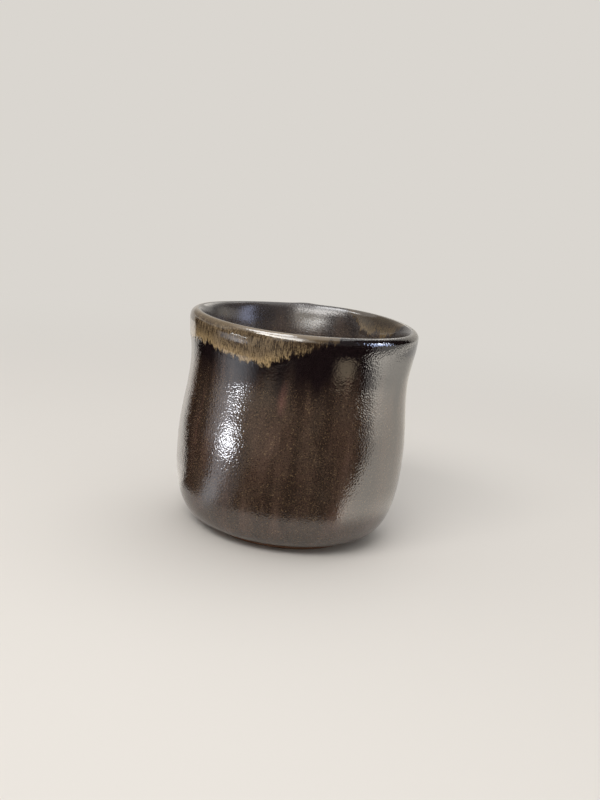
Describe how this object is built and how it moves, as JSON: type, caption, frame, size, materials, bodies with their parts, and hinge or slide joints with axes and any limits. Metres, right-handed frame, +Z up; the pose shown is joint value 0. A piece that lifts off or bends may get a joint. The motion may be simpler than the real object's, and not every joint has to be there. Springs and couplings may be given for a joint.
{
  "type": "coffee cup",
  "caption": "Handleless stoneware coffee cup with a low belly, soft waist and flared round lip, dark glossy glaze inside and out and pale ash glaze running from the rim.",
  "frame": {"origin": "middle of the foot, on the surface that the cup stands on", "axes": "+Z up along the axis that the cup was thrown on, -Y towards the side that the picture shows"},
  "size_m": [0.0872, 0.0872, 0.082],
  "materials": {
    "stoneware": "bare fired stoneware, matt, with fine trimming marks",
    "iron_glaze": "dark iron glaze with a metallic gloss and a fine orange-peel surface",
    "liner_glaze": "dark iron glaze inside, glossy",
    "ash_glaze": "tan ash glaze, glossy, breaking into fine streaks at its lower edge",
    "inner_ash_glaze": "thin tan ash glaze inside the rim, glossy"
  },
  "bodies": {
    "root": {"clay_body": "stoneware", "outer_glaze": "iron_glaze", "liner_glaze": "liner_glaze", "rim_ash_glaze": "ash_glaze", "inner_ash_glaze": "inner_ash_glaze"}
  },
  "joints": []
}
